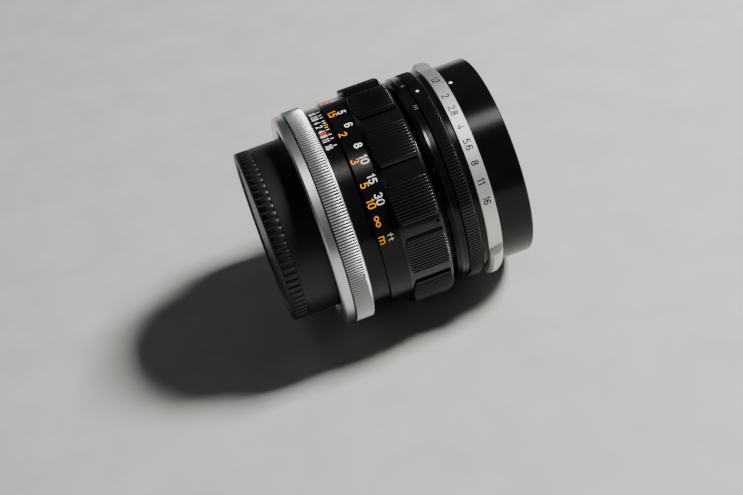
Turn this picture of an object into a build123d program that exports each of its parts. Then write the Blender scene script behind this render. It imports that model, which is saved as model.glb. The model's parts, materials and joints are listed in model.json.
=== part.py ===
"""Fast prime lens for a breech-lock reflex camera, with its rear cap on.

Frame: +X is the optical axis, towards the front of the lens. +Z points up through the index marks. The
origin is on the optical axis, in the plane of the breech ring's rear face. Angles about the axis are
measured from +Z, right-handed about +X. Units are millimetres and degrees.

At rest the lens is focused at about 1.65 m and its aperture ring stands a third of a stop down from
fully open.
"""

import os
from math import asin, cos, degrees, pi, radians, sin, sqrt

from build123d import *

# ---------------------------------------------------------------- driving dimensions
# Stations along the axis
CAP_REAR, CAP_FRONT = -13.8, 2.6
FLANGE_FACE, FLANGE_FRONT = 2.9, 4.3
BREECH_FRONT = 8.8
BAND_FRONT, GRIP_REAR = 2.8, 3.2
REAR_WALL_FRONT = 6.0
BODY_FLANGE_REAR, BODY_FLANGE_FRONT = 8.9, 9.9
SCALE_FRONT = 14.0
SKIRT_REAR, SKIRT_FRONT = 14.1, 20.4
LAND_SHOULDER, GRIP_FRONT, WEB_REAR, WEB_FRONT = 32.3, 33.2, 30.9, 32.5
INDEX_REAR, INDEX_RIDGE, INDEX_GROOVE, INDEX_FRONT = 34.9, 36.2, 38.2, 38.55
SWITCH_REAR, SWITCH_EDGE, SWITCH_FRONT = 38.7, 42.4, 42.95
SPACER_REAR, SPACER_FRONT = 43.05, 44.5
APERTURE_REAR, APERTURE_FRONT = 44.6, 48.8
FRONT_REAR, LENS_FRONT = 48.95, 58.8
THREAD_REAR, TRIM_REAR, TRIM_FRONT = 53.8, 47.1, 53.7

# Outside radii
CAP_R, CAP_WALL, CAP_FLOOR = 25.8, 1.5, 1.6
BREECH_BAND_R, BREECH_MOUTH_R = 31.9, 28.2
SCALE_R, SKIRT_R = 30.8, 31.5
INDEX_R, INDEX_BAND_R, SPACER_R, APERTURE_R, TAB_R = 31.5, 31.35, 30.6, 31.0, 32.75
FRONT_R, THREAD_R, FRONT_SEAT_R = 30.1, 28.8, 27.3

# The floors that the knurls and ribs stand on
CAP_RIB_FLOOR_R, CAP_RIB_REAR, CAP_RIB_FRONT = 25.5, -13.3, -9.2
BREECH_FLOOR_R, LAND_FLOOR_R, SWITCH_FLOOR_R = 32.15, 32.9, 31.3

# Telescoping tubes
RUNNING = 0.08
BREECH_SEAT_R = 27.0
SLEEVE_R, SLEEVE_BORE_R = 28.62, 27.08
UNIT_R, UNIT_BORE_R = 27.0, 25.5
CARRIER_R, CARRIER_BORE_R = 29.6, 28.95
SLEEVE_REAR, SLEEVE_FRONT = 10.0, 34.1
UNIT_REAR, UNIT_DISC_REAR, UNIT_DISC_FRONT = 12.6, 41.2, 43.0

# Focus: the optical unit moves this far for each degree of the ring
LEAD_PER_DEGREE = 0.035
FOCUS_LOW, FOCUS_HIGH = -62.3, 139.4
LAND_COUNT, LAND_PHASE, LAND_HEEL, LAND_HALF_WIDTH = 12, -2.7, 21.6, 6.2
SCALLOP_WIDTH, SCALLOP_DEPTH = 10.3, 1.0
TAB_CENTRES, TAB_SPAN, TAB_RAMP, TAB_SKEW = (129.0, -51.0), 45.2, 3.3, 0.3

# Iris
BLADE_COUNT = 8
RING_LOW, RING_HIGH = -71.5, 5.3
RING_TRAVEL = RING_HIGH - RING_LOW
STOP_OPEN_R, STOP_CLOSED_R, BLADE_OUTER_R = 15.6, 1.25, 22.05
PIVOT_R, PIVOT_PIN_R = 22.7, 0.45
TAIL_LENGTH, TAIL_ANGLE, TAIL_PIN_R = 3.4, 7.0, 0.25
BLADE_ARC, BLADE_THICK, BLADE_PITCH, BLADE_FIRST = 125.0, 0.12, 0.2, 25.3
SEAT_REAR, SEAT_FRONT = 24.4, 25.2
CAM_REAR, CAM_FRONT = 27.0, 27.9
CLOSING_ANGLE = 2 * degrees(asin((STOP_OPEN_R - STOP_CLOSED_R) / (2 * PIVOT_R)))
BLADE_RATIO = CLOSING_ANGLE / RING_TRAVEL

# Lever that joins the aperture ring to the iris cam ring
LINK_ANGLE, LINK_WIDTH = 36.0, 6.0
LINK_STEP_REAR, LINK_STEP_FRONT = 38.6, 39.4

# Stop-down lever behind the mount
LEVER_ANGLE, LEVER_WIDTH, LEVER_TRAVEL = 128.0, 5.0, 30.0
LEVER_SLOT = dict(outer=23.35, inner=21.85)

# Automatic / manual ring
SWITCH_LOW, SWITCH_HIGH = -10.0, 12.0

# Guide keys of the optical unit
KEY_ANGLES = (90.0, 270.0)
KEY_WIDTH, KEY_OUTER, KEY_INNER, KEY_TIP = 4.0, 26.5, 24.9, 19.0

# Screws
MOUNT_SCREW_ANGLES = (20.0, 110.0, 200.0, 290.0)
MOUNT_SCREW = dict(distance=25.8, head_r=1.15, head_h=0.7, shank_r=0.7)
MOUNT_PIN_DISTANCE, MOUNT_PIN_R = 26.9, 0.6
KEY_SCREW_DISTANCE, KEY_SCREW_R = 25.7, 0.6
STOP_SCREW_ANGLE, STOP_SCREW_X, STOP_SCREW_R = 180.0, 10.6, 0.5
GRIP_SCREW_ANGLES = tuple(LAND_PHASE + angle for angle in (75.0, 195.0, 315.0))
GRIP_SCREW_X, GRIP_SCREW_R = 31.6, 0.55
SWITCH_SCREW_ANGLES, SWITCH_SCREW_X, SWITCH_SCREW_R = (120.0, 240.0), 40.4, 0.5
LINK_SCREW_ANGLES, LINK_SCREW_X, LINK_SCREW_R = (150.0, 330.0), 46.4, 0.6


# ---------------------------------------------------------------- building helpers
def ring(x0, x1, outer, inner):
    """A plain tube along the axis."""
    return turned((x0, inner), (x0, outer), (x1, outer), (x1, inner))


def turned(*profile):
    """A full turning from (x, radius) corners."""
    return sector(0.0, 360.0, *profile)


def sector(start, span, *profile):
    """A turning through `span` degrees from `start`, from (x, radius) corners."""
    corners = [(x, 0, r) for x, r in profile]
    face = make_face(Polyline(*corners, close=True))
    return revolve(Rot(X=start) * face, axis=Axis.X, revolution_arc=span)


def block(start, span, x0, x1, outer, inner):
    """A sector of plain tube."""
    return sector(start, span, (x0, inner), (x0, outer), (x1, outer), (x1, inner))


def radial_rod(angle, x, radius, inner, outer):
    """A rod that points away from the axis."""
    rod = Cylinder(radius, outer - inner, align=(Align.CENTER, Align.CENTER, Align.MIN))
    return Rot(X=angle) * Pos(x, 0, inner) * rod


def axial_rod(angle, distance, radius, x0, x1):
    """A rod parallel to the axis."""
    rod = Rot(Y=90) * Cylinder(radius, x1 - x0, align=(Align.CENTER, Align.CENTER, Align.MIN))
    return Rot(X=angle) * Pos(x0, 0, distance) * rod


def spread(count, phase=0.0):
    """Equally spaced angles."""
    return [phase + 360.0 * i / count for i in range(count)]


def sag(curve, height):
    """How far a surface of signed radius falls back from its vertex; positive bulges forwards."""
    depth = abs(curve) - sqrt(curve * curve - height * height)
    return depth if curve > 0 else -depth


def surface(vertex, curve, clear):
    """Half of one refracting surface, from the axis to its clear radius."""
    middle = (vertex - sag(curve, clear / 2), 0, clear / 2)
    return ThreePointArc((vertex, 0, 0), middle, (vertex - sag(curve, clear), 0, clear))


def element(front, front_curve, rear, rear_curve, edge, front_clear=None, rear_clear=None):
    """A lens element: vertex stations, signed radii, edge radius and clear radii."""
    front_clear = front_clear or edge
    rear_clear = rear_clear or edge
    outline = [Line((rear, 0, 0), (front, 0, 0))]
    outline.append(surface(front, front_curve, front_clear))
    front_rim = front - sag(front_curve, front_clear)
    rear_rim = rear - sag(rear_curve, rear_clear)
    rim = [(front_rim, front_clear), (front_rim, edge), (rear_rim, edge), (rear_rim, rear_clear)]
    for (x0, r0), (x1, r1) in zip(rim, rim[1:]):
        if (x0, r0) != (x1, r1):
            outline.append(Line((x0, 0, r0), (x1, 0, r1)))
    outline.append(surface(rear, rear_curve, rear_clear))
    return revolve(make_face(outline), axis=Axis.X)


def slotted_screw(head_r, head_h, shank_r, length, slot=0.35):
    """A cheese-head screw whose head's top is at z=0 and whose shank points down."""
    head = Pos(Z=-head_h) * Cylinder(head_r, head_h, align=(Align.CENTER, Align.CENTER, Align.MIN))
    shank = Pos(Z=-length) * Cylinder(shank_r, length, align=(Align.CENTER, Align.CENTER, Align.MIN))
    groove = Box(2.2 * head_r, slot, slot * 2)
    return head + shank - groove


def axial_screws(angles, distance, x_head, facing, head_r, head_h, shank_r, length):
    """Screws parallel to the axis; facing is -1 for heads seen from the rear and +1 from the front."""
    screw = Rot(Y=90 * facing) * slotted_screw(head_r, head_h, shank_r, length)
    return [Rot(X=a) * Pos(x_head, 0, distance) * screw for a in angles]


def radial_screws(angles, x, r_head, head_r, head_h, shank_r, length):
    """Screws that point at the axis."""
    screw = slotted_screw(head_r, head_h, shank_r, length)
    return [Rot(X=a) * Pos(x, 0, r_head) * screw for a in angles]


# ---------------------------------------------------------------- fixed barrel
def lever_slot(x0, x1):
    """The arc that the stop-down lever sweeps, with room at both ends."""
    margin = LEVER_WIDTH / 2 + 1.5
    return block(LEVER_ANGLE - margin, LEVER_TRAVEL + 2 * margin, x0, x1, **LEVER_SLOT)


def mount_plate():
    plate = turned(
        (FLANGE_FACE, 21.4), (FLANGE_FACE, 27.6), (FLANGE_FACE + 0.3, 27.9), (FLANGE_FRONT, 27.9),
        (FLANGE_FRONT, 21.4),
    )
    plate -= lever_slot(FLANGE_FACE - 1, FLANGE_FRONT + 1)
    for angle in MOUNT_SCREW_ANGLES:
        distance = MOUNT_SCREW["distance"]
        plate -= axial_rod(angle, distance, MOUNT_SCREW["head_r"] + 0.05, FLANGE_FACE, FLANGE_FACE + 0.75)
        plate -= axial_rod(angle, distance, MOUNT_SCREW["shank_r"], FLANGE_FACE, FLANGE_FRONT)
    plate -= axial_rod(0.0, MOUNT_PIN_DISTANCE, MOUNT_PIN_R, FLANGE_FACE - 1, FLANGE_FRONT)
    return plate


def mount_pin():
    return axial_rod(0.0, MOUNT_PIN_DISTANCE, MOUNT_PIN_R, FLANGE_FACE - 0.65, FLANGE_FRONT)


def mount_screws():
    return axial_screws(
        MOUNT_SCREW_ANGLES, MOUNT_SCREW["distance"], FLANGE_FACE + 0.05, -1, MOUNT_SCREW["head_r"],
        MOUNT_SCREW["head_h"], MOUNT_SCREW["shank_r"], 4.6,
    )


def rear_body():
    body = turned(
        (FLANGE_FRONT, 21.4), (FLANGE_FRONT, BREECH_SEAT_R), (BODY_FLANGE_REAR, BREECH_SEAT_R),
        (BODY_FLANGE_REAR, 29.6), (BODY_FLANGE_FRONT, 29.6), (BODY_FLANGE_FRONT, 24.6),
        (REAR_WALL_FRONT, 24.6), (REAR_WALL_FRONT, 21.4),
    )
    body -= lever_slot(FLANGE_FRONT - 1, REAR_WALL_FRONT + 1)
    for angle in MOUNT_SCREW_ANGLES:
        body -= axial_rod(angle, MOUNT_SCREW["distance"], MOUNT_SCREW["shank_r"], FLANGE_FRONT, 7.55)
    for angle in KEY_ANGLES:
        body -= axial_rod(angle, KEY_SCREW_DISTANCE, KEY_SCREW_R, 7.6, BODY_FLANGE_FRONT)
    return body


def rear_baffle():
    return ring(4.6, 5.5, 21.4, 19.2)


def lever_keeper():
    return ring(7.6, 8.6, 24.6, 21.4)


def scale_barrel():
    """Carries the depth-of-field scale, and the tube that the focusing sleeve turns in."""
    bore = SLEEVE_R + RUNNING
    barrel = turned(
        (BODY_FLANGE_REAR, 29.6), (BODY_FLANGE_REAR, SCALE_R - 0.15), (BODY_FLANGE_REAR + 0.15, SCALE_R),
        (SCALE_FRONT - 0.1, SCALE_R), (SCALE_FRONT, SCALE_R - 0.1), (SCALE_FRONT, 30.25), (29.8, 30.25),
        (29.8, bore), (11.4, bore), (11.4, 30.0), (BODY_FLANGE_FRONT, 30.0), (BODY_FLANGE_FRONT, 29.6),
    )
    return barrel - radial_rod(STOP_SCREW_ANGLE, STOP_SCREW_X, STOP_SCREW_R, 29.5, 31.5)


def focus_stop_screw():
    head = SCALE_R - 0.1
    return radial_screws([STOP_SCREW_ANGLE], STOP_SCREW_X, head, STOP_SCREW_R, 0.4, STOP_SCREW_R, 1.75)


def guide_keys():
    """Two straight keys, fixed to the rear body, that keep the optical unit from turning."""
    span = degrees(KEY_WIDTH / KEY_OUTER)
    keys = []
    for angle in KEY_ANGLES:
        key = block(angle - span / 2, span, BODY_FLANGE_FRONT, KEY_TIP, KEY_OUTER, KEY_INNER)
        key -= axial_rod(angle, KEY_SCREW_DISTANCE, KEY_SCREW_R, BODY_FLANGE_FRONT - 1, 14.0)
        keys.append(key)
    return keys


def guide_key_screws():
    return axial_screws(KEY_ANGLES, KEY_SCREW_DISTANCE, 13.5, 1, KEY_SCREW_R, 0.5, KEY_SCREW_R, 5.9)


# ---------------------------------------------------------------- breech ring, cap and stop-down lever
def breech_ring():
    seat = BREECH_SEAT_R + RUNNING
    body = turned(
        (0.0, BREECH_MOUTH_R + 0.5), (0.0, BREECH_BAND_R - 0.5), (0.5, BREECH_BAND_R),
        (BAND_FRONT, BREECH_BAND_R), (BAND_FRONT, 31.2), (GRIP_REAR, 31.2),
        (GRIP_REAR, BREECH_FLOOR_R), (8.3, BREECH_FLOOR_R),
        (BREECH_FRONT, 31.8), (BREECH_FRONT, seat), (4.4, seat), (4.4, BREECH_MOUTH_R),
        (0.5, BREECH_MOUTH_R),
    )
    for angle in spread(3, 43.0):
        body += block(angle, 34.0, 0.6, 2.0, BREECH_MOUTH_R + 0.2, 26.7)
    return body


def rear_cap():
    """A moulded cap whose skirt stands on the mount plate inside the breech ring."""
    inner = CAP_R - CAP_WALL
    floor = CAP_REAR + CAP_FLOOR
    cap = turned(
        (CAP_REAR + 0.6, 0.0), (CAP_REAR + 0.6, 22.6), (CAP_REAR, 23.2), (CAP_REAR, CAP_R - 0.4),
        (CAP_REAR + 0.4, CAP_R), (CAP_RIB_REAR, CAP_R), (CAP_RIB_REAR, CAP_RIB_FLOOR_R),
        (CAP_RIB_FRONT - 0.3, CAP_RIB_FLOOR_R), (CAP_RIB_FRONT, CAP_R), (CAP_FRONT, CAP_R),
        (CAP_FRONT, inner), (floor + 0.8, inner),
        (floor, inner - 0.8), (floor, 0.0),
    )
    for angle in spread(3, 103.0):
        cap += block(angle - 6.0, 12.0, 1.0, 2.3, CAP_R + 0.6, CAP_R - 0.4)
    return cap


def stop_lever():
    """The ring inside the rear body and its post, which stands out behind the mount."""
    body = ring(6.3, 7.3, 24.3, 21.6)
    start = LEVER_ANGLE - LEVER_WIDTH / 2
    body += block(start, LEVER_WIDTH, -3.0, 6.4, 23.1, 22.1)
    return body


# ---------------------------------------------------------------- focusing ring
def focus_scale_ring():
    return turned(
        (SKIRT_REAR, 30.55), (SKIRT_REAR, SKIRT_R - 0.15), (SKIRT_REAR + 0.15, SKIRT_R),
        (SKIRT_FRONT, SKIRT_R), (SKIRT_FRONT, 31.05), (WEB_REAR, 31.05), (WEB_REAR, 30.55),
    )


def focus_grip():
    """The grip: twelve lands with rounded ends and a scallop between each pair."""
    valley = LAND_FLOOR_R - SCALLOP_DEPTH
    lip_bore = INDEX_R - 0.25
    grip = turned(
        (SKIRT_FRONT, 31.05), (SKIRT_FRONT, 31.6), (LAND_HEEL, valley), (LAND_SHOULDER, valley),
        (GRIP_FRONT, valley - 0.2), (GRIP_FRONT, lip_bore), (WEB_FRONT, lip_bore), (WEB_FRONT, SLEEVE_R),
        (WEB_REAR, SLEEVE_R), (WEB_REAR, 31.05),
    )
    crown = turned(
        (SKIRT_FRONT, valley - 0.5), (SKIRT_FRONT, 32.2), (LAND_HEEL - 0.3, LAND_FLOOR_R),
        (LAND_SHOULDER - 0.2, LAND_FLOOR_R), (GRIP_FRONT, 32.3), (GRIP_FRONT, valley - 0.5),
    )
    for angle in spread(LAND_COUNT, LAND_PHASE):
        grip += crown & Rot(X=angle) * land_outline()
    chord = 2 * LAND_FLOOR_R * sin(radians(SCALLOP_WIDTH / 2))
    cutter = chord * chord / (8 * SCALLOP_DEPTH) + SCALLOP_DEPTH / 2
    for angle in spread(LAND_COUNT, LAND_PHASE + 180.0 / LAND_COUNT):
        grip -= axial_rod(angle, valley + cutter, cutter, SKIRT_FRONT - 1, GRIP_FRONT + 1)
    for angle in GRIP_SCREW_ANGLES:
        grip -= radial_rod(angle, GRIP_SCREW_X, GRIP_SCREW_R, SLEEVE_R - 1, LAND_FLOOR_R)
    return grip


def land_outline():
    """A prism that points away from the axis, with the plan shape of one land."""
    half = LAND_HALF_WIDTH
    rear = ThreePointArc((LAND_HEEL, -half), (SKIRT_FRONT + 0.1, 0), (LAND_HEEL, half))
    front = ThreePointArc((LAND_SHOULDER, half), (GRIP_FRONT - 0.1, 0), (LAND_SHOULDER, -half))
    left = Line((LAND_HEEL, half), (LAND_SHOULDER, half))
    right = Line((LAND_SHOULDER, -half), (LAND_HEEL, -half))
    plan = make_face([rear, left, front, right])
    return Pos(Z=LAND_FLOOR_R - 3) * extrude(plan, amount=4)


def focus_grip_screws():
    return radial_screws(GRIP_SCREW_ANGLES, GRIP_SCREW_X, 31.6, GRIP_SCREW_R, 0.5, GRIP_SCREW_R, 2.9)


def focus_sleeve():
    """The middle helicoid sleeve. Its rear flange turns between the rear body and the scale barrel."""
    sleeve = turned(
        (SLEEVE_REAR, SLEEVE_BORE_R), (SLEEVE_REAR, 29.7), (11.2, 29.7), (11.2, SLEEVE_R),
        (SLEEVE_FRONT - 0.3, SLEEVE_R), (SLEEVE_FRONT, SLEEVE_R - 0.3), (SLEEVE_FRONT, SLEEVE_BORE_R),
    )
    screw_span = degrees(STOP_SCREW_R / 29.5)
    start = STOP_SCREW_ANGLE - FOCUS_HIGH - screw_span - 1.0
    span = FOCUS_HIGH - FOCUS_LOW + 2 * screw_span + 2.0
    return sleeve - block(start, span, SLEEVE_REAR - 1, 11.2, 31.0, SLEEVE_R)


# ---------------------------------------------------------------- optical unit: barrels
def link_slot(x0, x1, outer, inner):
    """Room for the iris link's travel with the aperture ring."""
    margin = LINK_WIDTH / 2 + 1.5
    return block(LINK_ANGLE + RING_LOW - margin, RING_TRAVEL + 2 * margin, x0, x1, outer, inner)


def unit_barrel():
    """Inner helicoid tube, the disc in front of it, and the carrier tube of the outer rings."""
    barrel = turned(
        (UNIT_REAR, UNIT_BORE_R), (UNIT_REAR, UNIT_R), (UNIT_DISC_REAR, UNIT_R),
        (UNIT_DISC_REAR, CARRIER_BORE_R), (35.2, CARRIER_BORE_R), (35.2, CARRIER_R),
        (FRONT_REAR, CARRIER_R), (FRONT_REAR, CARRIER_BORE_R), (UNIT_DISC_FRONT, CARRIER_BORE_R),
        (UNIT_DISC_FRONT, UNIT_BORE_R),
    )
    key_span = degrees((KEY_WIDTH + 0.3) / KEY_OUTER)
    for angle in KEY_ANGLES:
        barrel -= block(angle - key_span / 2, key_span, UNIT_REAR - 1, 22.0, UNIT_R + 1, UNIT_BORE_R - 1)
    barrel -= link_slot(LINK_STEP_REAR - 0.2, LINK_STEP_FRONT + 0.2, 28.0, UNIT_BORE_R - 1)
    barrel -= link_slot(UNIT_DISC_REAR - 1, UNIT_DISC_FRONT + 1, 28.7, 27.2)
    for angle in LINK_SCREW_ANGLES:
        start = angle + RING_LOW - 3.0
        barrel -= block(start, RING_TRAVEL + 6.0, LINK_SCREW_X - 0.9, LINK_SCREW_X + 0.9, 30.5, 28.5)
    for angle in SWITCH_SCREW_ANGLES:
        start = angle + SWITCH_LOW - 3.0
        span = SWITCH_HIGH - SWITCH_LOW + 6.0
        barrel -= block(start, span, SWITCH_SCREW_X - 0.6, SWITCH_SCREW_X + 0.6, 30.5, 28.8)
    return barrel


def index_ring():
    """The ring that carries the mode letters: a cone at the rear up to a ridge, then a plain band."""
    return turned(
        (INDEX_REAR, CARRIER_R), (INDEX_REAR, 30.7), (INDEX_RIDGE, INDEX_R),
        (INDEX_RIDGE + 0.6, INDEX_BAND_R), (INDEX_GROOVE, INDEX_BAND_R), (INDEX_GROOVE, 30.2),
        (INDEX_FRONT, 30.2), (INDEX_FRONT, CARRIER_R),
    )


def spacer_ring():
    return ring(SPACER_REAR, SPACER_FRONT, SPACER_R, CARRIER_R)


def front_barrel():
    """Outer front barrel with the filter thread's bore."""
    return turned(
        (FRONT_REAR - 1.3, FRONT_SEAT_R), (FRONT_REAR - 1.3, CARRIER_BORE_R), (FRONT_REAR, CARRIER_BORE_R),
        (FRONT_REAR, FRONT_R), (LENS_FRONT - 0.35, FRONT_R), (LENS_FRONT, FRONT_R - 0.35),
        (LENS_FRONT, THREAD_R), (THREAD_REAR, THREAD_R), (THREAD_REAR, FRONT_SEAT_R),
    )


def trim_ring():
    """Stepped ring around the front element."""
    mouth, throat, steps = 26.8, 24.4, 6
    rise = (mouth - throat) / steps
    run = (TRIM_FRONT - TRIM_REAR) / steps
    outline = [(TRIM_REAR, FRONT_SEAT_R), (TRIM_FRONT, FRONT_SEAT_R)]
    for i in range(steps):
        x = TRIM_FRONT - i * run
        r = mouth - i * rise
        outline.append((x, r))
        outline.append((x - run, r - 0.25 * rise))
    return turned(*outline)


# ---------------------------------------------------------------- optical unit: glass and cells
ELEMENTS = {
    "lens_1": dict(front=51.0, front_curve=50.0, rear=43.0, rear_curve=150.0, edge=24.6),
    "lens_2": dict(front=42.4, front_curve=38.0, rear=36.4, rear_curve=100.0, edge=21.0),
    "lens_3": dict(front=36.4, front_curve=100.0, rear=34.4, rear_curve=26.0, edge=18.5, rear_clear=17.2),
    "lens_4": dict(front=18.0, front_curve=-26.0, rear=16.2, rear_curve=150.0, edge=17.0, front_clear=16.0),
    "lens_5": dict(front=16.2, front_curve=150.0, rear=9.0, rear_curve=-34.0, edge=17.0),
    "lens_6": dict(front=8.6, front_curve=120.0, rear=4.0, rear_curve=-60.0, edge=17.0),
    "lens_7": dict(front=3.7, front_curve=90.0, rear=-0.6, rear_curve=-150.0, edge=16.5),
}


def front_cell():
    return turned(
        (28.0, 18.55), (28.0, 22.8), (39.6, 22.8), (39.6, 25.4), (UNIT_DISC_FRONT, 25.4),
        (UNIT_DISC_FRONT, 27.0), (45.2, 27.0), (45.2, 26.2), (47.0, 26.2), (47.0, 24.65), (40.9, 24.65),
        (40.9, 21.05), (34.1, 21.05), (34.1, 18.55),
    )


def front_retainer():
    retainer = ring(45.1, 46.5, 24.65, 23.9)
    for angle in (0.0, 180.0):
        retainer -= block(angle - 1.5, 3.0, 45.9, 47.0, 25.0, 23.5)
    return retainer


def rear_cell():
    return turned(
        (-0.9, 16.55), (-0.9, 18.3), (-0.6, 18.6), (22.6, 18.6), (22.6, 25.45), (24.3, 25.45),
        (24.3, 16.2), (23.6, 16.2), (23.6, 17.05), (3.0, 17.05), (3.0, 16.55),
    )


def rear_spacers():
    return [ring(7.65, 12.85, 17.05, 16.0), ring(3.05, 5.85, 16.55, 15.5)]


def rear_retainer():
    retainer = ring(-0.8, 0.15, 16.55, 15.4)
    for angle in (0.0, 180.0):
        retainer -= block(angle - 2.0, 4.0, -1.0, -0.3, 17.0, 15.0)
    return retainer


# ---------------------------------------------------------------- rings that turn on the optical unit
def switch_ring():
    """The automatic / manual ring."""
    bore = CARRIER_R + RUNNING
    body = turned(
        (SWITCH_REAR, bore), (SWITCH_REAR, SWITCH_FLOOR_R), (SWITCH_EDGE - 0.2, SWITCH_FLOOR_R),
        (SWITCH_EDGE, INDEX_R), (SWITCH_FRONT, INDEX_R - 0.55), (SWITCH_FRONT, bore),
    )
    for angle in SWITCH_SCREW_ANGLES:
        body -= radial_rod(angle, SWITCH_SCREW_X, SWITCH_SCREW_R, 29.0, 32.0)
    return body


def switch_ring_screws():
    return radial_screws(
        SWITCH_SCREW_ANGLES, SWITCH_SCREW_X, INDEX_R - 0.2, SWITCH_SCREW_R, 0.4, SWITCH_SCREW_R, 2.25
    )


def aperture_ring():
    """A plain ring with two raised grip tabs, each with a ramp at both ends."""
    bore = CARRIER_R + RUNNING
    body = turned(
        (APERTURE_REAR, bore), (APERTURE_REAR, APERTURE_R - 0.2), (APERTURE_REAR + 0.2, APERTURE_R),
        (APERTURE_FRONT - 0.2, APERTURE_R), (APERTURE_FRONT, APERTURE_R - 0.2), (APERTURE_FRONT, bore),
    )
    for centre in TAB_CENTRES:
        body += grip_tab(centre)
    for angle in LINK_SCREW_ANGLES:
        body -= radial_rod(angle, LINK_SCREW_X, LINK_SCREW_R, 29.0, 34.0)
    return body


def grip_tab(centre):
    """A raised sector with chamfered long edges, trimmed by a slanting plane at each end."""
    foot = APERTURE_R - 0.4
    start = centre - TAB_SPAN / 2 - 2 * TAB_RAMP
    tab = sector(
        start, TAB_SPAN + 4 * TAB_RAMP, (APERTURE_REAR, foot), (APERTURE_REAR, TAB_R - 0.85),
        (APERTURE_REAR + 0.8, TAB_R), (APERTURE_FRONT - 1.6, TAB_R), (APERTURE_FRONT - 0.4, TAB_R - 0.85),
        (APERTURE_FRONT - 0.2, foot),
    )
    middle = (APERTURE_REAR + APERTURE_FRONT) / 2
    reach = APERTURE_FRONT - middle + 1
    for side in (-1, 1):
        tip = centre + side * (TAB_SPAN / 2 + TAB_RAMP)
        shoulder = centre + side * TAB_SPAN / 2
        low = polar(tip, APERTURE_R - 0.1)
        high = polar(shoulder, TAB_R + 0.05)
        beyond = polar(tip + side * 12.0, APERTURE_R - 1.2)
        above = polar(tip + side * 2.0, TAB_R + 6.0)
        wedge = make_face(Polyline(low, high, above, beyond, close=True))
        slant = (1, -side * TAB_SKEW * cos(radians(tip)), -side * TAB_SKEW * sin(radians(tip)))
        tab -= Pos(X=middle) * extrude(wedge, amount=reach, dir=slant, both=True)
    return tab


def polar(angle, radius):
    """A point in the plane x=0 at an angle from +Z."""
    return (0, -radius * sin(radians(angle)), radius * cos(radians(angle)))


def aperture_link():
    """Ring under the aperture ring, with the stepped lever that reaches back to the iris."""
    start = LINK_ANGLE - LINK_WIDTH / 2
    body = ring(45.5, 47.3, 28.8, 27.35)
    body += block(start, LINK_WIDTH, LINK_STEP_REAR, 45.6, 28.5, 27.4)
    body += block(start, LINK_WIDTH, LINK_STEP_REAR, LINK_STEP_FRONT, 28.5, 23.4)
    body += block(start, LINK_WIDTH, CAM_FRONT, LINK_STEP_FRONT, 24.6, 23.4)
    for angle in LINK_SCREW_ANGLES:
        body -= radial_rod(angle, LINK_SCREW_X, LINK_SCREW_R, 26.0, 30.0)
    return body


def aperture_link_screws():
    return radial_screws(
        LINK_SCREW_ANGLES, LINK_SCREW_X, APERTURE_R - 0.15, LINK_SCREW_R, 0.5, LINK_SCREW_R, 3.3
    )


# ---------------------------------------------------------------- iris
def turn(point, angle):
    """A point of the iris plane turned about the axis; both are (y, z)."""
    c = cos(radians(angle))
    s = sin(radians(angle))
    return (c * point[0] - s * point[1], s * point[0] + c * point[1])


def tail_pin(closing):
    """Where the first blade's tail pin is when the blade has closed by this angle."""
    arm = turn((-TAIL_LENGTH * sin(radians(TAIL_ANGLE)), -TAIL_LENGTH * cos(radians(TAIL_ANGLE))), closing)
    return (PIVOT_R + arm[0], arm[1])


def cam_point(travel):
    """The tail pin's place on the cam ring, as it lies at rest, for a travel of the ring."""
    return turn(tail_pin(BLADE_RATIO * travel), travel - RING_HIGH)


def iris_cam_ring():
    """Eight spiral slots, one for each blade's tail pin."""
    body = ring(CAM_REAR, CAM_FRONT, 25.4, 21.0)
    half_width = TAIL_PIN_R + 0.08
    travels = [-1.5 + (RING_TRAVEL + 3.0) * i / 12 for i in range(13)]
    left = []
    right = []
    for travel in travels:
        y, z = cam_point(travel)
        ahead = cam_point(travel + 0.01)
        along = (ahead[0] - y, ahead[1] - z)
        length = sqrt(along[0] ** 2 + along[1] ** 2)
        side = (-along[1] / length * half_width, along[0] / length * half_width)
        left.append((0, y + side[0], z + side[1]))
        right.append((0, y - side[0], z - side[1]))
    edges = [Spline(*left), Line(left[-1], right[-1]), Spline(*reversed(right)), Line(right[0], left[0])]
    slot = Pos(X=CAM_REAR - 1) * extrude(make_face(edges), amount=CAM_FRONT - CAM_REAR + 2, dir=(1, 0, 0))
    for angle in spread(BLADE_COUNT):
        body -= Rot(X=angle) * slot
    return body


def blade_seat():
    seat = ring(SEAT_REAR, SEAT_FRONT, 25.45, STOP_OPEN_R + 0.3)
    for angle in spread(BLADE_COUNT):
        seat -= axial_rod(angle - 90.0, PIVOT_R, PIVOT_PIN_R + 0.05, SEAT_REAR - 1, SEAT_FRONT + 1)
    return seat


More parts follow.
